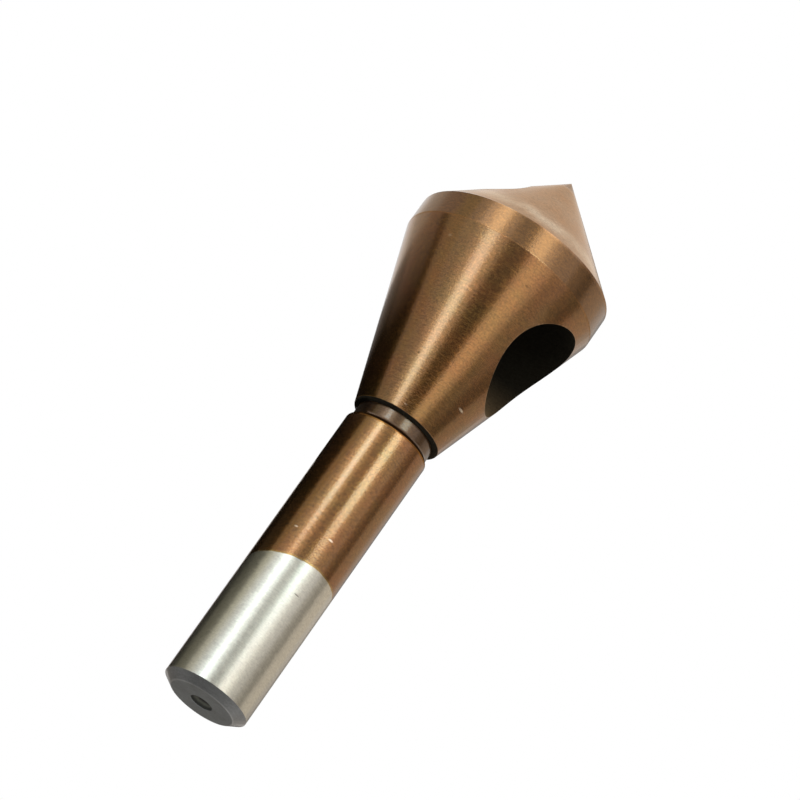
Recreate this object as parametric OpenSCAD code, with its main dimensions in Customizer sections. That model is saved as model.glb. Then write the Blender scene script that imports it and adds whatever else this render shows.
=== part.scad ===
// Cross-hole countersink bit, ground from one bar of high-speed steel.
// Millimetres. The tool axis is Z, the shank's end face is z = 0 and the point is up.
// The slanted hole opens on the point at -X and on the back of the head at +X.

/* [Overall] */
// Length from the shank's end face to the point
overall_len = 87; // [80:0.5:120]

/* [Head] */
// Largest diameter of the head
head_d = 28; // [24:0.5:34]
// Length from the head's underside to the point
head_len = 42.4; // [36:0.2:52]
// Diameter of the head's underside, measured to its sharp corner
underside_d = 12.48; // [12:0.02:16]
// Radius on the corner of the underside
underside_r = 0.35; // [0.1:0.05:0.4]
// Height of the plain land between the back cone and the point
land_len = 3.76; // [2:0.02:6]
// Radius on the edge where the back cone meets the land
land_edge_r = 0.6; // [0.2:0.1:1.5]

/* [Point] */
// Full angle of the point
point_angle = 90; // [75:1:105]
// How far the two ground halves of the point stand off the tool axis
relief = 0.35; // [0.1:0.05:0.6]

/* [Slanted hole] */
// Diameter of the hole that makes the cutting lip
hole_d = 13.5; // [9:0.1:15]
// Angle between the hole and the tool axis
hole_angle = 45; // [40:1:50]
// How far below the point the hole crosses the tool axis
hole_drop = 16.5; // [15:0.1:19]
// How far the hole's axis passes beside the tool axis
hole_offset = 1; // [0:0.1:2]

/* [Neck and shank] */
// Diameter of the neck ground under the head
neck_d = 11.1; // [9:0.1:11.8]
// Length of the neck, from the end of the shank to the head's underside
neck_len = 2.55; // [2:0.05:5]
// Radius of each half of the S-shaped step from the shank to the neck
step_r = 0.6; // [0.5:0.1:1]
// Diameter of the plain round shank
shank_d = 12; // [11.9:0.1:14]
// Chamfer on the shank's end, measured across the radius
chamfer_w = 1.4; // [0.5:0.1:2]
// Chamfer on the shank's end, measured along the axis
chamfer_h = 0.95; // [0.4:0.05:2]

/* [Centre hole] */
// Diameter of the centre hole where it opens on the end face
centre_d = 3.2; // [2:0.1:5]
// Full angle of the centre hole's cone
centre_angle = 60; // [60:15:90]
// Diameter of the drilled pilot at the bottom of the centre hole
pilot_d = 1.5; // [1:0.1:1.8]
// Depth of the pilot below the cone
pilot_len = 2; // [1:0.1:4]
// Full angle of the pilot's drilled bottom
pilot_angle = 118; // [90:1:140]

/* [Hidden] */
$fn = 96;
// Room by which a cutting shape runs past the surface that it cuts
over = 1;
bronze = [0.55, 0.42, 0.27];

head_r = head_d / 2;
shank_r = shank_d / 2;
neck_r = neck_d / 2;
underside_z = overall_len - head_len;
shank_top = underside_z - neck_len;
// A plain cone of the point's angle drops this much for each millimetre of radius
point_slope = 1 / tan(point_angle / 2);
land_z = overall_len - head_r * point_slope - land_len;

// The S-shaped step is two equal arcs that turn through step_turn
step_turn = acos(1 - (shank_r - neck_r) / (2 * step_r));
step_len = 2 * step_r * sin(step_turn);

// The back cone leans out by back_lean from the tool axis
back_lean = atan2(head_r - underside_d / 2, land_z - underside_z);
// Radius at which the flat of the underside ends and its corner's arc begins
corner_r = underside_d / 2 - underside_r * (1 - sin(back_lean)) / cos(back_lean);
// How far the arc on the land's edge runs along each of its two sides
edge_run = land_edge_r * tan(back_lean / 2);

centre_cone_h = (centre_d - pilot_d) / 2 / tan(centre_angle / 2);
pilot_tip_h = pilot_d / 2 / tan(pilot_angle / 2);

// The turned outline with a straight chord across each arc, in local heights above the shank's top
module chord_outline() {
    polygon([
        [0, -shank_top],
        [shank_r - chamfer_w, -shank_top],
        [shank_r, chamfer_h - shank_top],
        [shank_r, 0],
        [(shank_r + neck_r) / 2, step_len / 2],
        [neck_r, step_len],
        [neck_r, neck_len],
        [corner_r, neck_len],
        [corner_r + underside_r * cos(back_lean), neck_len + underside_r * (1 - sin(back_lean))],
        [head_r - edge_run * sin(back_lean), land_z - shank_top - edge_run * cos(back_lean)],
        [head_r, land_z - shank_top + edge_run],
        [head_r, overall_len - shank_top],
        [0, overall_len - shank_top]
    ]);
}

// The turned outline with its four arcs: three that fill a corner and one that hollows the step
module blank_outline() {
    difference() {
        union() {
            chord_outline();
            translate([shank_r - step_r, 0]) circle(r = step_r);
            translate([corner_r, neck_len + underside_r]) circle(r = underside_r);
            translate([head_r - land_edge_r, land_z - shank_top + edge_run]) circle(r = land_edge_r);
        }
        translate([neck_r + step_r, step_len]) circle(r = step_r);
    }
}

// The turned blank: everything that is round about the tool axis
module blank() {
    translate([0, 0, shank_top]) rotate_extrude() blank_outline();
}

// A cone of the point's angle, standing off the tool axis, tall enough to hold the whole blank
module point_cone(side, tip_z) {
    cone_h = tip_z + over;
    translate([side * relief, 0, -over]) cylinder(h = cone_h, r1 = cone_h / point_slope, r2 = 0);
}

// One half of the space about the tool axis, at -Y or at +Y
module half_space(side) {
    reach = 2 * overall_len;
    translate([-reach / 2, side < 0 ? -reach : 0, -over]) cube([reach, reach, reach]);
}

// The flat that lets the relief run out beside the lip
module run_out() {
    reach = 4 * overall_len;
    translate([0, 0, overall_len - relief * point_slope])
        rotate([0, -(90 - point_angle / 2), 0])
            translate([-reach / 2, -reach / 2, -reach]) cube([reach, reach, reach]);
}

// The blank with its point ground in relief: the half at -Y rises towards +X, and the half at +Y
// goes on rising from there to the lip
module ground_blank() {
    intersection() {
        blank();
        point_cone(1, overall_len);
        half_space(-1);
    }
    intersection() {
        blank();
        point_cone(-1, overall_len + 2 * relief * point_slope);
        half_space(1);
        run_out();
    }
}

// The slanted hole, from the lip beside the point to the back of the head
module slanted_hole() {
    reach = 2 * head_len;
    translate([0, -hole_offset, overall_len - hole_drop])
        rotate([0, -hole_angle, 0])
            cylinder(h = 2 * reach, d = hole_d, center = true);
}

// The 60 degree centre that the bit was ground on, with its drilled pilot
module centre_hole() {
    translate([0, 0, -over])
        cylinder(h = centre_cone_h + over, d1 = centre_d + 2 * over * tan(centre_angle / 2), d2 = pilot_d);
    cylinder(h = centre_cone_h + pilot_len, d = pilot_d);
    translate([0, 0, centre_cone_h + pilot_len]) cylinder(h = pilot_tip_h, d1 = pilot_d, d2 = 0);
}

module countersink_bit() {
    color(bronze)
        difference() {
            ground_blank();
            slanted_hole();
            centre_hole();
        }
}

countersink_bit();
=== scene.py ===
# %% [markdown]
# # A countersink bit with a bronze coat
#
# The bit is one piece of high-speed steel, ground round and pierced by a slanted hole whose edge
# cuts. Its head and the upper half of its shank carry a hard bronze-coloured coat, and the lower
# half of the shank, which the chuck grips, is bare. The solid comes from the CAD model as it is,
# so this lesson is about the rest: a camera, a small studio for shiny metal, and one material that
# knows which part of the bit it is on.

# %% Load the model
import math

import bmesh
import bpy
from mathutils import Matrix, Vector


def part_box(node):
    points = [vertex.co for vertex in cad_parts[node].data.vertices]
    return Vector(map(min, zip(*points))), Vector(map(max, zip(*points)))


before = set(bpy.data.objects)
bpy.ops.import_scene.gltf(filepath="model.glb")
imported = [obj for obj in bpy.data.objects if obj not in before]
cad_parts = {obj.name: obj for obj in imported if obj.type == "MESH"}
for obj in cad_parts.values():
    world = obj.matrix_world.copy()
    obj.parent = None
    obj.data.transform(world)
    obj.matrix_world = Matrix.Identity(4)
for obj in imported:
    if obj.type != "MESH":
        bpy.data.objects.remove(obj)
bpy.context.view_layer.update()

MM = 0.001
NODE = "countersink_bit"
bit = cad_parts[NODE]
foot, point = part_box(NODE)
OVERALL = point[2] / MM
print(f"the bit is {OVERALL:.1f} mm long and {(point[0] - foot[0]) / MM:.1f} mm across the head")

# %% [markdown]
# ## The camera
#
# The picture looks at the bit from below its end face, with the point leaning away to the upper
# right. A long lens stands more than half a metre away, so the cylinder's sides stay parallel. The
# camera is set by the angle that it looks from, how far it is rolled, and the place on the bit that
# it looks at, because those can be read and changed more easily than a matrix.

# %% Camera
CAMERA_AZIMUTH = 15.7
CAMERA_ELEVATION = -21.907
CAMERA_ROLL = 35.329
CAMERA_DISTANCE = 572.93 * MM
CAMERA_AIM = Vector((-1.558, -0.438, 48.205)) * MM
LENS = 202.14

azimuth = math.radians(CAMERA_AZIMUTH)
elevation = math.radians(CAMERA_ELEVATION)
towards_camera = Vector((math.sin(azimuth) * math.cos(elevation),
                         -math.cos(azimuth) * math.cos(elevation),
                         math.sin(elevation)))
level_turn = towards_camera.to_track_quat("Z", "Y").to_matrix().to_4x4()
roll_turn = Matrix.Rotation(math.radians(CAMERA_ROLL), 4, "Z")
camera_place = Matrix.Translation(CAMERA_AIM + towards_camera * CAMERA_DISTANCE)

camera = bpy.data.objects.new("camera", bpy.data.cameras.new("camera"))
camera.matrix_world = camera_place @ level_turn @ roll_turn
camera.data.lens = LENS
camera.data.clip_start = 10 * MM
bpy.context.scene.collection.objects.link(camera)
bpy.context.scene.camera = camera
bpy.context.scene.view_settings.view_transform = "Standard"
print("camera at", [round(value / MM, 1) for value in camera.matrix_world.translation], "mm")

# %% [markdown]
# ## Three helpers
#
# Every colour below is written as the sRGB hex value that a picture editor shows, and one function
# turns it into the linear value that the shaders work in. A second function adds a node, sets its
# fields and wires its inputs, so that a material reads from top to bottom like a recipe. A third
# makes the empty material that they fill. Inputs that share a name are wired by number: a Mix node
# takes numbers at 2 and 3 and colours at 6 and 7, and a Vector Math node takes its scale at 3.

# %% Helpers
def linear(hex_colour):
    """Turn an sRGB hex colour into the linear RGBA that Blender's shaders expect."""
    channels = [int(hex_colour[i:i + 2], 16) / 255 for i in (1, 3, 5)]
    return [c / 12.92 if c <= 0.04045 else ((c + 0.055) / 1.055) ** 2.4 for c in channels] + [1.0]


def add(tree, kind, wires=None, **settings):
    """Add one node and wire it. A wire may come from a number, a colour, an output or a node's
    first output."""
    node = tree.nodes.new("ShaderNode" + kind)
    for name, value in settings.items():
        setattr(node, name, value)
    for name, value in (wires or {}).items():
        if isinstance(value, bpy.types.Node):
            value = value.outputs[0]
        if isinstance(value, bpy.types.NodeSocket):
            tree.links.new(value, node.inputs[name])
        else:
            node.inputs[name].default_value = value
    return node


def new_material(name):
    """Make an empty node material and give back the material and its node tree."""
    material = bpy.data.materials.new(name)
    material.use_nodes = True
    material.node_tree.nodes.clear()
    return material, material.node_tree


print("bronze #A3774D is", [round(c, 3) for c in linear("#A3774D")[:3]], "in linear light")

# %% [markdown]
# ## A white room
#
# The world is plain white wherever the camera looks, and the metal mirrors the same white. Only the
# light that falls on matt things is held lower, so that the floor still has room for a shadow. The
# Light Path node tells these rays apart.

# %% World
AMBIENT = 0.62

world = bpy.data.worlds.new("white_room")
bpy.context.scene.world = world
world.use_nodes = True
tree = world.node_tree
tree.nodes.clear()
ray = add(tree, "LightPath")
seen = add(tree, "Math", {0: ray.outputs["Is Camera Ray"], 1: ray.outputs["Is Glossy Ray"]},
           operation="ADD")
seen = add(tree, "Math", {0: seen, 1: ray.outputs["Is Transmission Ray"]},
           operation="ADD", use_clamp=True)
strength = add(tree, "MapRange", {"Value": seen, "To Min": AMBIENT, "To Max": 1.0})
background = add(tree, "Background", {"Color": linear("#FFFFFF"), "Strength": strength})
add(tree, "OutputWorld", {"Surface": background})
print("the world's strength is 1 where it is seen and", AMBIENT, "where it lights the floor")

# %% [markdown]
# ## The floor
#
# The bit stands on its end face on a pale round board of painted wood fibre, which is quite matt.
# The picture is taken from lower than the board, so the board is painted on its upper side only:
# from below it is clear. Its rim fades out, which leaves no edge against the white room, and it is
# open under the end face, so that this face is not shut in against the board. A circle for the
# opening and one for the rim, bridged, make it. In reflections the opening is wider, because the
# chamfer round the end face looks straight down and would mirror nothing but its own dark contact
# shadow.

# %% Floor
FLOOR_RADIUS = 240 * MM
FLOOR_FADE = 140 * MM
FLOOR_DROP = 0.02 * MM
END_FACE_RADIUS = 4.6 * MM
MIRRORED_OPENING = 10 * MM

bm = bmesh.new()
for circle_radius in (FLOOR_RADIUS, END_FACE_RADIUS):
    bmesh.ops.create_circle(bm, segments=96, radius=circle_radius)
bmesh.ops.bridge_loops(bm, edges=bm.edges[:])
bmesh.ops.translate(bm, vec=(0, 0, -FLOOR_DROP), verts=bm.verts[:])
bmesh.ops.recalc_face_normals(bm, faces=bm.faces[:])
if bm.faces[:][0].normal.z < 0:
    bmesh.ops.reverse_faces(bm, faces=bm.faces[:])
mesh = bpy.data.meshes.new("floor")
bm.to_mesh(mesh)
bm.free()
floor = bpy.data.objects.new("floor", mesh)
bpy.context.scene.collection.objects.link(floor)

material, tree = new_material("pale_board")
place = add(tree, "TexCoord").outputs["Object"]
from_middle = add(tree, "VectorMath", {0: place}, operation="LENGTH").outputs["Value"]
faded = add(tree, "MapRange", {"Value": from_middle,
                               "From Min": FLOOR_FADE, "From Max": FLOOR_RADIUS})
underneath = add(tree, "NewGeometry").outputs["Backfacing"]
clear = add(tree, "Math", {0: faded, 1: underneath}, operation="MAXIMUM")
near_foot = add(tree, "Math", {0: from_middle, 1: MIRRORED_OPENING}, operation="LESS_THAN")
in_mirror = add(tree, "LightPath").outputs["Is Glossy Ray"]
mirrored = add(tree, "Math", {0: near_foot, 1: in_mirror}, operation="MULTIPLY")
clear = add(tree, "Math", {0: clear, 1: mirrored}, operation="MAXIMUM")
paint = add(tree, "BsdfDiffuse", {"Color": linear("#F4F4F4")})
board = add(tree, "MixShader", {0: clear, 1: paint, 2: add(tree, "BsdfTransparent")})
add(tree, "OutputMaterial", {"Surface": board})
floor.data.materials.append(material)
print("floor:", len(mesh.polygons), "faces, upper side up:", mesh.polygons[0].normal.z > 0)

# %% [markdown]
# ## Cards round the bit
#
# Polished metal has no look of its own: it shows what stands round it. A photographer of shiny
# tools therefore builds a ring of cards, some grey, some black, and the streaks on the metal are
# the edges between them. Here each card is a flat grid of points, bent round the bit. Angles are
# counted from the camera's side, positive to the camera's right. A card has a brightness and a tint
# at its foot and another at its top, where 1 is white, and only reflections see it. Shade is the
# pair of heights between which the one turns into the other. Lean is how many degrees the foot of
# its left and of its right edge stand further right than the top, because the head's cone mirrors
# the feet of the cards and the shank their tops.

# %% Card function
CAMERA_SIDE = CAMERA_AZIMUTH - 90
CARD_STEP = 6
NO_TINT = ("#FFFFFF", "#FFFFFF")


def round_the_bit(angle, distance, height):
    """A place round the bit, by its angle from the camera's side, its distance and its height."""
    turn = math.radians(CAMERA_SIDE + angle)
    return Vector((distance * math.cos(turn), distance * math.sin(turn), height))


def glow(thing, along, low, high, at_low, at_high, tints=NO_TINT):
    """Make a card glow, changing along one axis, and let only reflections see it."""
    material, tree = new_material(thing.name)
    place = add(tree, "SeparateXYZ", {0: add(tree, "TexCoord").outputs["Object"]}).outputs[along]
    way = add(tree, "MapRange", {"Value": place, "From Min": low, "From Max": high})
    level = add(tree, "MapRange", {"Value": way, "To Min": at_low, "To Max": at_high})
    tint = add(tree, "Mix", {0: way, 6: linear(tints[0]), 7: linear(tints[1])},
               data_type="RGBA").outputs[2]
    light = add(tree, "Emission", {"Color": tint, "Strength": level})
    add(tree, "OutputMaterial", {"Surface": light})
    thing.data.materials.append(material)
    thing.visible_camera = False
    thing.visible_diffuse = False
    thing.visible_transmission = False
    thing.visible_shadow = False


def card(name, start, end, at_foot, at_top, lean=(0, 0), tints=NO_TINT,
         distance=165 * MM, low=-60 * MM, high=190 * MM, shade=(20 * MM, 75 * MM)):
    """Bend a grid round the bit from one angle to another and make it a glowing card."""
    bm = bmesh.new()
    steps = math.ceil((end - start) / CARD_STEP)
    bmesh.ops.create_grid(bm, x_segments=steps, y_segments=1, size=0.5)
    for vert in bm.verts:
        across, up = vert.co.x + 0.5, vert.co.y + 0.5
        foot_lean = lean[0] + (lean[1] - lean[0]) * across
        angle = start + (end - start) * across + (1 - up) * foot_lean
        vert.co = round_the_bit(angle, distance, low + (high - low) * up)
    mesh = bpy.data.meshes.new(name)
    bm.to_mesh(mesh)
    bm.free()
    thing = bpy.data.objects.new(name, mesh)
    bpy.context.scene.collection.objects.link(thing)
    glow(thing, "Z", shade[0], shade[1], at_foot, at_top, tints)
    return thing


print("one card bends every", CARD_STEP, "degrees")

# %% [markdown]
# ### The cards
#
# The grey and pale cards stand for the walls of the room. A wall lit by lamps is a little warm, one
# near a window a little cool, and the tint shows on bare steel at once. Three kinds stand closer.
# Near cards darken the left side of the shank and of the cone, and the upper ones stand on top of
# them and fade out towards the land. A narrow strip inside the groove keeps the left of the neck
# dark, and nothing but the neck can mirror it. The cards below the bit are for its end face, which
# looks down at them.

# %% Cards
YELLOWED = ("#FFFBDC", "#FFFBDC")
YELLOWED_TOP = ("#FFF8F4", "#FFFBDC")
WARM_WALL = ("#FFF8EC", "#FFF3E5")
PALE_WALL = ("#FFF8EC", "#FFFBFC")
PINK_WALL = ("#FFF4F0", "#FFF4F0")
COOL_WALL = ("#F2F8FF", "#FFFFFF")
NEAR = {"distance": 42 * MM, "low": 0.5 * MM, "high": 50 * MM}
UPPER = {"distance": 42 * MM, "low": 50 * MM, "high": 71 * MM}
IN_GROOVE = {"distance": 6.12 * MM, "low": 42.1 * MM, "high": 44.55 * MM}
BELOW = {"distance": 120 * MM, "low": -150 * MM, "high": -1 * MM}

cards = [
    card("dusk_card", -180, -140, 0.40, 0.80),
    card("evening_card", -140, -112, 0.35, 0.62),
    card("charcoal_card", -112, -84, 0.15, 0.47, tints=PINK_WALL),
    card("left_grey_card", -84, -66, 0.49, 0.56, tints=YELLOWED_TOP),
    card("left_pale_card", -66, -54, 0.53, 0.74, lean=(0, 5), tints=COOL_WALL),
    card("left_glow_card", -54, -42.5, 0.96, 1.75, lean=(5, 5), tints=COOL_WALL,
         shade=(75 * MM, 100 * MM)),
    card("left_after_glow_card", -30, -19, 0.80, 1.15, lean=(5, 5)),
    card("lens_card", -19, 2, 0.0, 0.56, lean=(5, 14)),
    card("right_glow_card", 21, 31, 0.85, 1.25, lean=(14, 12), tints=PALE_WALL),
    card("right_pale_card", 31, 58, 0.28, 0.80, lean=(12, 6), tints=PALE_WALL),
    card("right_grey_card", 58, 72, 0.18, 0.42, lean=(6, 3), tints=WARM_WALL),
    card("right_dark_card", 72, 88, 0.17, 0.235, lean=(3, 0), tints=WARM_WALL),
    card("right_light_card", 88, 125, 0.55, 0.65, tints=WARM_WALL),
    card("right_white_card", 125, 152, 0.16, 0.62),
    card("right_edge_card", 152, 180, 0.20, 0.30),
    card("near_black_card", -153, -114, 0.005, 0.005, **NEAR),
    card("near_charcoal_card", -114, -78, 0.11, 0.012, tints=YELLOWED,
         shade=(20 * MM, 45 * MM), **NEAR),
    card("upper_black_card", -162, -114, 0.005, 0.24,
         shade=(58 * MM, 70 * MM), **UPPER),
    card("upper_grey_card", -114, -84, 0.012, 0.38, tints=PINK_WALL,
         shade=(56 * MM, 69 * MM), **UPPER),
    card("upper_charcoal_card", -84, -76, 0.012, 0.12, tints=PINK_WALL,
         shade=(56 * MM, 70 * MM), **UPPER),
    card("neck_strip_card", -112, -56, 0.02, 0.02, **IN_GROOVE),
    card("under_left_card", 165, 240, 0.22, 0.22, **BELOW),
    card("under_right_card", 120, 165, 0.46, 0.46, **BELOW),
]
for thing in cards:
    print(f"{thing.name}: {len(thing.data.polygons)} faces")

# %% [markdown]
# ### Two windows
#
# The two brightest streaks are windows. Each has four panes, one above the other, and the edges
# between the panes are set by what each part of the bit mirrors: the cone the lowest pane, the bare
# steel the second, the coated shank the third, and the neck and the land the top one. So the streak
# on each part gets its own brightness. Light from outside is bluish, and a bronze metal turns that
# into the pale gold of a streak that is almost white.

# %% Windows
PANE_EDGES = (-60, 50, 84, 106, 190)
LEFT_PANES = ((5.0, "#DAF3FF"), (1.5, "#FFE0D8"), (8.6, "#C8ECFF"), (3.4, "#FFFCEE"))
RIGHT_PANES = ((1.52, "#FFFAE5"), (1.3, "#FFF0FF"), (6.7, "#D5FAFF"), (2.80, "#FFFAEB"))


def window(name, start, end, lean, panes):
    """Stand panes on top of each other, each with its own brightness and tint, as one window."""
    made = []
    whole = PANE_EDGES[-1] - PANE_EDGES[0]
    for number, (level, tint) in enumerate(panes):
        low, high = PANE_EDGES[number:number + 2]
        shift = lean * (PANE_EDGES[-1] - high) / whole
        lean_here = lean * (high - low) / whole
        made.append(card(f"{name}_{number}", start + shift, end + shift, level, level,
                         lean=(lean_here, lean_here), tints=(tint, tint),
                         low=low * MM, high=high * MM))
    return made


windows = window("left_window", -42.5, -30, 5, LEFT_PANES)
windows += window("right_window", 2.5, 21, 14, RIGHT_PANES)
for thing in windows:
    print(f"{thing.name}: {len(thing.data.polygons)} faces")

# %% [markdown]
# ### The card at the bottom
#
# The chamfer round the end face mirrors what lies straight below the bit where it turns towards
# the camera. A disc far below is darker on the left, so the chamfer is too.

# %% Bottom card
BOTTOM_RADIUS = 120 * MM
BOTTOM_DEPTH = 150 * MM
BOTTOM_SHADE = 90 * MM

bm = bmesh.new()
bmesh.ops.create_circle(bm, cap_ends=True, segments=48, radius=BOTTOM_RADIUS)
bmesh.ops.translate(bm, vec=(0, 0, -BOTTOM_DEPTH), verts=bm.verts[:])
mesh = bpy.data.meshes.new("bottom_card")
bm.to_mesh(mesh)
bm.free()
bottom_card = bpy.data.objects.new("bottom_card", mesh)
bpy.context.scene.collection.objects.link(bottom_card)
glow(bottom_card, "X", -BOTTOM_SHADE, BOTTOM_SHADE, 0.13, 0.36)
print("bottom card:", len(mesh.polygons), "face")

# %% [markdown]
# ## The lamp
#
# One broad soft lamp overhead lights the floor and throws the shadow. A lamp's energy in watts says
# little about how bright it looks, so its watts are worked out from the brightness of its face,
# where 1 is white, and from the face's area. The metal doesn't mirror it, because the cards already
# say all that the metal shows.

# %% Lamp
LAMP_SIDE = 0.45
LAMP_LEVEL = 2.2
LAMP_PLACE = Vector((-0.12, 0.18, 0.55))

light = bpy.data.lights.new("overhead_lamp", "AREA")
light.shape = "SQUARE"
light.size = LAMP_SIDE
light.energy = LAMP_LEVEL * math.pi * LAMP_SIDE ** 2
lamp = bpy.data.objects.new("overhead_lamp", light)
lamp_turn = LAMP_PLACE.to_track_quat("Z", "Y").to_matrix().to_4x4()
lamp.matrix_world = Matrix.Translation(LAMP_PLACE) @ lamp_turn
lamp.visible_glossy = False
bpy.context.scene.collection.objects.link(lamp)
print(f"lamp: {light.energy:.2f} W")

# %% [markdown]
# ## The material
#
# High-speed steel, ground on a cylindrical grinder and then coated in a vacuum chamber: a satin
# metal with fine marks that run round it, bronze where the coat is and pale grey where it isn't.
# The tool is one piece, so the bit gets one material, and masks decide what it is at each place.
# Every mask reads Object coordinates turned into millimetres, which on this piece are the drawing's
# own sizes: height along the axis, and distance from it. A mask is a number from 0 to 1. One
# function makes a band between two limits, and two more join masks.

# %% Where a point is on the bit
SHANK_RADIUS = 6.0
SHANK_TOP = 42.05
CHAMFER_HEIGHT = 0.95
UNDERSIDE = 44.6
LAND_EDGE = 69.24
NOSE_START = 73.0
HOLE_RADIUS = 6.75
HOLE_CENTRE = (0, -1, OVERALL - 16.5)
HOLE_ALONG = (-math.sqrt(0.5), 0, math.sqrt(0.5))
CENTRE_HOLE_RADIUS = 1.6
CENTRE_HOLE_DEPTH = 6.0
FACE_RADIUS = END_FACE_RADIUS / MM

steel, tree = new_material("bronze_coated_high_speed_steel")
place = add(tree, "TexCoord").outputs["Object"]
place = add(tree, "VectorMath", {0: place, 3: 1 / MM}, operation="SCALE").outputs["Vector"]
height = add(tree, "SeparateXYZ", {0: place}).outputs["Z"]
flat = add(tree, "VectorMath", {0: place, 1: (1, 1, 0)}, operation="MULTIPLY").outputs["Vector"]
radius = add(tree, "VectorMath", {0: flat}, operation="LENGTH").outputs["Value"]


def all_of(first, *others):
    """Join masks: 1 only where every one of them is. A plain number among them weakens the mask."""
    for other in others:
        first = add(tree, "Math", {0: first, 1: other}, operation="MULTIPLY")
    return first


def any_of(first, *others):
    """Join masks: as strong as the strongest of them."""
    for other in others:
        first = add(tree, "Math", {0: first, 1: other}, operation="MAXIMUM")
    return first


def band(value, low=None, high=None, soft=0.1):
    """A mask that is 1 from the low limit to the high one. Either limit may be left out."""
    edges = []
    for limit, before, after in ((low, 0.0, 1.0), (high, 1.0, 0.0)):
        if limit is not None:
            edges.append(add(tree, "MapRange", {"Value": value, "To Min": before, "To Max": after,
                                                "From Min": limit - soft / 2,
                                                "From Max": limit + soft / 2}))
    return all_of(*edges)


print("hole centre at", HOLE_CENTRE, "mm, direction", [round(value, 3) for value in HOLE_ALONG])

# %% [markdown]
# ### Grinding marks
#
# A cylindrical grinder leaves thousands of fine scratches that run round the bit, each a few tenths
# of a millimetre long and a few hundredths wide. Noise that is squeezed along the axis and left
# long round it gives such dashes with no seam. The real scratches are finer than a pixel, so these
# are drawn 0.2 mm apart, as fine as the picture can show. A second noise, the same in all
# directions, is the fine sandy grain that the coat adds, drawn as coarse as a pixel for the same
# reason, and a third, coarse one is its clouds. Such a noise lies mostly between 0.3 and 0.7, and
# the sum of two between 0.7 and 1.3, so those are the limits that are stretched below.

# %% Grinding marks
SCRATCH_LENGTH = 0.7
SCRATCH_PITCH = 0.2
GRAIN = 0.26
CLOUD = 3.6

squeeze = (1 / SCRATCH_LENGTH, 1 / SCRATCH_LENGTH, 1 / SCRATCH_PITCH)
along = add(tree, "Mapping", {"Vector": place, "Scale": squeeze})
scratches = add(tree, "TexNoise", {"Vector": along, "Scale": 1.0, "Detail": 2.0, "Roughness": 0.6})
grain = add(tree, "TexNoise", {"Vector": place, "Scale": 1 / GRAIN,
                               "Detail": 2.0, "Roughness": 0.7})
cloud = add(tree, "TexNoise", {"Vector": place, "Scale": 1 / CLOUD, "Detail": 3.0})
print("scratches", SCRATCH_PITCH, "mm apart, grain", GRAIN, "mm, clouds", CLOUD, "mm")

# %% [markdown]
# ### The edge of the coat
#
# In the coating chamber the shank stands in a sleeve, a little tilted, and the coat ends at the
# sleeve's mouth. So the edge is a slanted plane cut through the shank, with a slight waver. Right
# at the edge the coat thins to nothing and shows a narrow gold line.

# %% Coat edge
COAT_END = 19.37
COAT_RISE = 1.6
COAT_TILT_ANGLE = 30
GOLD_WIDTH = 0.18
WAVER = 0.35

tilt = round_the_bit(COAT_TILT_ANGLE, COAT_RISE / SHANK_RADIUS, 0)
slant = add(tree, "VectorMath", {0: place, 1: (-tilt.x, -tilt.y, 1)},
            operation="DOT_PRODUCT").outputs["Value"]
waver = add(tree, "MapRange", {"Value": cloud, "To Min": -WAVER, "To Max": WAVER})
over_edge = add(tree, "Math", {0: slant, 1: waver}, operation="ADD")
coated = band(over_edge, COAT_END, soft=0.16)
tinted = band(over_edge, COAT_END + GOLD_WIDTH, soft=0.3)
uncoated = add(tree, "Math", {0: 1.0, 1: coated}, operation="SUBTRACT")
print("the coat ends", COAT_END, "mm up, and", COAT_RISE, "mm higher or lower at two sides")

# %% [markdown]
# ### Painted shade and light in the hollows
#
# The corner under the head and the drilled wall of the slanted hole are painted dark, as painted
# shade for these hollows. The lower end of that wall is painted a lighter brown: a painted
# reflection of light that reaches into the hole. A narrow dark line round the shoulder of the shank
# is painted shade in the crease under the neck. The end face and its chamfer were only turned,
# before hardening, and stay grey. The centre hole in it is painted darker still, as painted shade,
# but for a lighter band on the far wall of its cone, which is a painted highlight.

# %% Dark places
NECK_START = SHANK_TOP + 0.16
SHOULDER_LINE = 0.4
SHADE_BELOW, SHADE_ABOVE = 0.09, 0.20
BORE_SHADE_MARGIN = 0.035
LIT_END_TOP, LIT_END_FADE = 56.0, 8.0
CRESCENT_START, CRESCENT_END = 0.34, 0.66

neck = band(height, NECK_START, UNDERSIDE)
# painted shade: a dark line round the shoulder, in the crease under the neck
shoulder_shade_line = band(height, NECK_START, NECK_START + SHOULDER_LINE, soft=0.06)
# painted shade: a dark ring under the head
under_head_shade = band(height, UNDERSIDE - SHADE_BELOW, UNDERSIDE + SHADE_ABOVE, soft=0.08)
from_centre = add(tree, "VectorMath", {0: place, 1: HOLE_CENTRE}, operation="SUBTRACT")
from_axis = add(tree, "VectorMath", {0: from_centre, 1: HOLE_ALONG}, operation="CROSS_PRODUCT")
from_axis = add(tree, "VectorMath", {0: from_axis}, operation="LENGTH").outputs["Value"]
# the drilled wall of the slanted hole, painted dark as shade in the hollow
bore = band(from_axis, high=HOLE_RADIUS + BORE_SHADE_MARGIN, soft=0.03)
shaded_hollows = any_of(under_head_shade, bore)
# painted reflection: the lower end of the slanted hole's wall is lighter, where light reaches in
bore_lit_end = all_of(bore, band(height, high=LIT_END_TOP, soft=LIT_END_FADE))

turned = band(height, high=CHAMFER_HEIGHT + 0.01, soft=0.04)
end_face = all_of(turned, band(radius, high=FACE_RADIUS))
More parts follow.
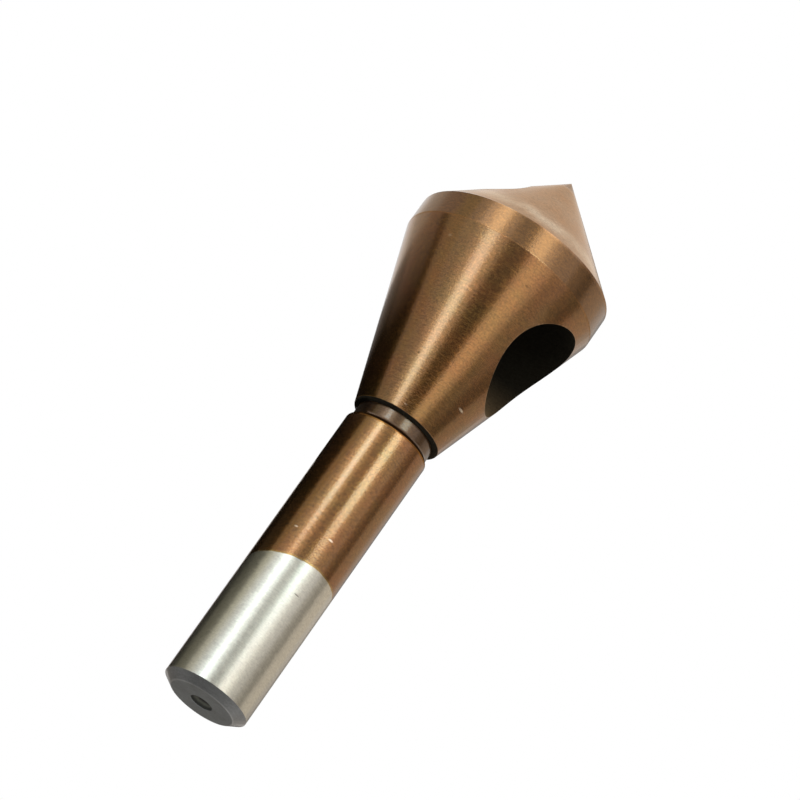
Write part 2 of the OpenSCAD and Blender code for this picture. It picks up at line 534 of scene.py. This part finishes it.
# the centre hole, which is painted dark as shade
drilled = all_of(band(radius, high=CENTRE_HOLE_RADIUS - 0.01, soft=0.02),
                 band(height, 0.02, CENTRE_HOLE_DEPTH, soft=0.02))
far_side = round_the_bit(180, 1, 0)
to_far_side = add(tree, "VectorMath", {0: place, 1: far_side},
                  operation="DOT_PRODUCT").outputs["Value"]
# painted highlight: a lighter band on the far wall of the centre hole
centre_hole_highlight = all_of(drilled, band(to_far_side, 0.5, soft=0.6),
                  band(height, CRESCENT_START, CRESCENT_END, soft=0.2))
painted_shade = any_of(shaded_hollows, drilled, shoulder_shade_line)
print(f"dark line {SHOULDER_LINE} mm wide on the shoulder, from {NECK_START:.2f} mm up")

# %% [markdown]
# ### Painted edge highlights, worn and bruised places
#
# The edge between the cone and the narrow land carries a thin pale line, and the rim of the slanted
# hole small bright flecks: both are painted highlights, where these sharp edges catch the light.
# The turned edge between end face and chamfer is brighter too. The nose was ground last, and the
# band behind its rim is rubbed to a greyer tone. A handful of nicks, each a fraction of a
# millimetre, lie where other tools in the drawer have struck the bit. A nick is a tiny ellipsoid
# round a point of the surface, long round the bit and short along it, which fades from half its
# size outward. Some nicks shine, and others have gone dark.

# %% Worn places
RIM_START, RIM_WIDTH = HOLE_RADIUS + 0.03, 0.09
LINE_BELOW, LINE_ABOVE = 0.06, 0.10
RUB_START, RUB_END = NOSE_START + 0.9, NOSE_START + 3.2
FACE_LINE_INSIDE, FACE_LINE_OUTSIDE = 0.12, 0.10
NICK_CORE, NICK_EDGE = 0.5, 1.2


def nick(height_on_bit, angle, distance, half_length, half_width, strength):
    """A mask for one nick, placed by its height, its angle and its distance from the axis."""
    centre = round_the_bit(angle, distance, height_on_bit)
    moved = add(tree, "VectorMath", {0: place, 1: centre}, operation="SUBTRACT")
    size = (1 / half_length, 1 / half_length, 1 / half_width)
    scaled = add(tree, "VectorMath", {0: moved, 1: size}, operation="MULTIPLY")
    reach = add(tree, "VectorMath", {0: scaled}, operation="LENGTH").outputs["Value"]
    return add(tree, "MapRange", {"Value": reach, "From Min": NICK_CORE, "From Max": NICK_EDGE,
                                  "To Min": strength, "To Max": 0.0})


# painted highlight: small bright flecks along the rim of the slanted hole
rim_highlight = all_of(band(from_axis, RIM_START, RIM_START + RIM_WIDTH, soft=0.06),
              band(grain, 0.5, soft=0.3))
# painted highlight: a thin pale line along the edge between cone and land
land_line = band(height, LAND_EDGE - LINE_BELOW, LAND_EDGE + LINE_ABOVE, soft=0.08)
on_land = band(height, LAND_EDGE, NOSE_START - 0.02)
on_nose = band(height, NOSE_START, soft=0.3)
rubbed = all_of(band(height, RUB_START, RUB_END, soft=1.5), band(cloud, 0.45, soft=0.3))
face_line = all_of(turned, band(radius, FACE_RADIUS - FACE_LINE_INSIDE,
                                FACE_RADIUS + FACE_LINE_OUTSIDE))

bright_nicks = any_of(nick(66.6, -40.6, 13.16, 0.35, 0.20, 0.15),
                      nick(49.6, 44.2, 7.82, 0.55, 0.16, 1.0),
                      nick(45.6, -6.2, 6.56, 0.30, 0.10, 0.3),
                      nick(25.1, 14.7, SHANK_RADIUS, 0.35, 0.14, 0.6),
                      nick(24.3, -31.2, SHANK_RADIUS, 0.30, 0.14, 0.5))
dark_nicks = any_of(nick(65.8, 14.1, 12.93, 0.30, 0.14, 0.45),
                    nick(51.8, -22.1, 8.51, 0.20, 0.16, 0.7),
                    nick(16.7, 18.4, SHANK_RADIUS, 0.45, 0.10, 0.65))
print("the nose's rubbed band runs from", RUB_START, "to", RUB_END, "mm up")

# %% [markdown]
# ### Colours
#
# The coat is a few thousandths of a millimetre thick, most likely a nitride. It is a metal to the
# eye: its colour is in its mirror reflection. It varies between a yellower and a redder bronze from
# place to place. The bare shank is ground tool steel, a warm light grey. The colours are laid over
# one another like coats of paint, each where its mask is. At the end the scratches and the grain
# make every point a little lighter or darker. On metal a bump alone would do that, but marks this
# fine average out in it, so they go into the colour too, and less on the smoother bare steel.

# %% Colours
BARE_STEEL = linear("#D5D1C2")
GOLD_LINE = linear("#B08F4C")
BRONZE_YELLOW = linear("#8B6432")
BRONZE_RED = linear("#926132")
# The neck's darker bronze is painted shade for the groove under the head.
NECK_SHADED_BRONZE = linear("#5C4227")
# The shoulder's dark line is painted shade in the crease under the neck.
SHOULDER_PAINTED_SHADE = linear("#332012")
LAND_BRONZE = linear("#805A2F")
# The pale line at the land's edge is a painted highlight.
LAND_EDGE_HIGHLIGHT = linear("#B89276")
NOSE_BRONZE = linear("#9B7350")
NOSE_GREY = linear("#9C7C60")
RUBBED_BRONZE = linear("#BDA993")
# The bright flecks on the slanted hole's rim are a painted highlight.
RIM_HIGHLIGHT = linear("#C8A888")
CHAMFER_STEEL = linear("#8C8C8A")
TURNED_STEEL = linear("#878F91")
TURNED_SHADE = linear("#747B7D")
TURNED_EDGE = linear("#B4B4B2")
BRIGHT = linear("#F4DEC4")
BRUISE = linear("#3A2A1C")
# The centre hole's dark grey is painted shade in that hollow.
CENTRE_HOLE_SHADE = linear("#62625E")
# The lighter band in the centre hole is a painted highlight.
CENTRE_HOLE_HIGHLIGHT = linear("#94948A")
# The dark colour under the head and in the slanted hole is painted shade.
HOLLOW_SHADE = linear("#36322A")
# The lighter brown at the lower end of the slanted hole is a painted reflection.
BORE_PAINTED_LIGHT = linear("#7A6850")
SPECKLE = 0.26
STEEL_SMOOTHER = 0.5

cloudy = band(cloud, 0.5, soft=0.3)
mottled = {}
for name, less, more in (("coat", BRONZE_YELLOW, BRONZE_RED),
                         ("nose", NOSE_GREY, NOSE_BRONZE),
                         ("end face", TURNED_SHADE, TURNED_STEEL)):
    mottled[name] = add(tree, "Mix", {0: cloudy, 6: less, 7: more}, data_type="RGBA").outputs[2]

layers = (
    (coated, GOLD_LINE),
    (tinted, mottled["coat"]),
    # painted shade in the neck's groove
    (neck, NECK_SHADED_BRONZE),
    # painted shade: the dark line round the shoulder
    (shoulder_shade_line, SHOULDER_PAINTED_SHADE),
    (on_land, LAND_BRONZE),
    # painted highlight along the land's edge
    (all_of(land_line, 0.25), LAND_EDGE_HIGHLIGHT),
    (on_nose, mottled["nose"]),
    (rubbed, RUBBED_BRONZE),
    # painted highlight on the slanted hole's rim
    (all_of(rim_highlight, 0.35), RIM_HIGHLIGHT),
    (turned, CHAMFER_STEEL),
    (end_face, mottled["end face"]),
    (all_of(face_line, 0.8), TURNED_EDGE),
    (bright_nicks, BRIGHT),
    (dark_nicks, BRUISE),
    # painted shade in the centre hole
    (drilled, CENTRE_HOLE_SHADE),
    # painted highlight on the centre hole's far wall
    (centre_hole_highlight, CENTRE_HOLE_HIGHLIGHT),
    # painted shade under the head and on the slanted hole's wall
    (shaded_hollows, HOLLOW_SHADE),
    # painted reflection at the lower end of the slanted hole
    (bore_lit_end, BORE_PAINTED_LIGHT),
)
colour = BARE_STEEL
for mask, on_top in layers:
    colour = add(tree, "Mix", {0: mask, 6: colour, 7: on_top}, data_type="RGBA").outputs[2]

speckle = add(tree, "Math", {0: grain, 1: scratches}, operation="ADD")
sandy = add(tree, "MapRange", {"Value": speckle, "From Min": 0.7, "From Max": 1.3,
                               "To Min": 1 - SPECKLE, "To Max": 1 + SPECKLE})
sandy = add(tree, "Mix", {0: all_of(uncoated, STEEL_SMOOTHER), 2: sandy, 3: 1.0})
colour = add(tree, "VectorMath", {0: colour, 3: sandy}, operation="SCALE").outputs["Vector"]
print(len(layers), "layers of colour over the bare steel")

# %% [markdown]
# ### Gloss
#
# The ground surfaces are satin, the neck and the bare steel a little duller. The steel's roughness
# is never under 0.28, because the renderer's noise filter takes a smoother metal for a mirror, and
# a value that crosses that mark leaves dark dots. A thin film of oil lies over everything, as on
# any tool kept from rust, and adds a sharper and whiter glint on top of the coloured one, but not
# on the dry places: the nose in part, the places painted dark for shade, the dark nicks and the two
# sharp edges. The painted shade stays metallic here with a dark colour and full roughness, because
# a rough non-metal would add a grey haze that it doesn't have. A metal's colour pales where it is
# seen edge-on, and the specular tint keeps that edge warm.

# %% Gloss and surface
SATIN_LOW, SATIN_HIGH = 0.21, 0.27
NECK_DULLER = 0.08
STEEL_DULLER = 0.07
TURNED_GLOSS = 0.42
SHADE_GLOSS = 1.0
OIL_GLOSS = 0.15
NOSE_DRYNESS = 0.6
SHOULDER_BELOW, SHOULDER_ABOVE = 0.05, 0.30
SCRATCH_DEPTH = 0.003
GRAIN_DEPTH = 0.010
STEEL_FLATTER = 0.35
WARM_EDGE = linear("#F8E2C8")

satin = add(tree, "MapRange", {"Value": scratches, "From Min": 0.3, "From Max": 0.7,
                               "To Min": SATIN_LOW, "To Max": SATIN_HIGH})
satin = add(tree, "Math", {0: neck, 1: NECK_DULLER, 2: satin}, operation="MULTIPLY_ADD")
satin = add(tree, "Math", {0: uncoated, 1: STEEL_DULLER, 2: satin}, operation="MULTIPLY_ADD")
gloss = add(tree, "Mix", {0: turned, 2: satin, 3: TURNED_GLOSS})
gloss = add(tree, "Mix", {0: painted_shade, 2: gloss, 3: SHADE_GLOSS})

shoulder_edge = band(height, SHANK_TOP - SHOULDER_BELOW, SHANK_TOP + SHOULDER_ABOVE)
dry = any_of(all_of(on_nose, NOSE_DRYNESS), dark_nicks, painted_shade, shoulder_edge, land_line)
oiled = add(tree, "Math", {0: 1.0, 1: dry}, operation="SUBTRACT")

depth = add(tree, "Math", {0: scratches, 1: SCRATCH_DEPTH}, operation="MULTIPLY")
depth = add(tree, "Math", {0: grain, 1: GRAIN_DEPTH, 2: depth}, operation="MULTIPLY_ADD")
flatter = add(tree, "MapRange", {"Value": coated, "To Min": STEEL_FLATTER, "To Max": 1.0})
depth = add(tree, "Math", {0: depth, 1: flatter}, operation="MULTIPLY")
marks = add(tree, "Bump", {"Strength": 1.0, "Distance": MM, "Height": depth})

shader = add(tree, "BsdfPrincipled", {"Base Color": colour, "Metallic": 1.0,
                                      "Roughness": gloss, "Normal": marks,
                                      "Coat Weight": oiled, "Coat Roughness": OIL_GLOSS,
                                      "Coat Normal": marks, "Specular Tint": WARM_EDGE})
add(tree, "OutputMaterial", {"Surface": shader})
for slot in range(len(bit.material_slots)):
    bit.material_slots[slot].material = steel
print("material:", steel.name, "with", len(tree.nodes), "nodes")

# %% Sizes
print("bit:", len(bit.data.polygons), "triangles")
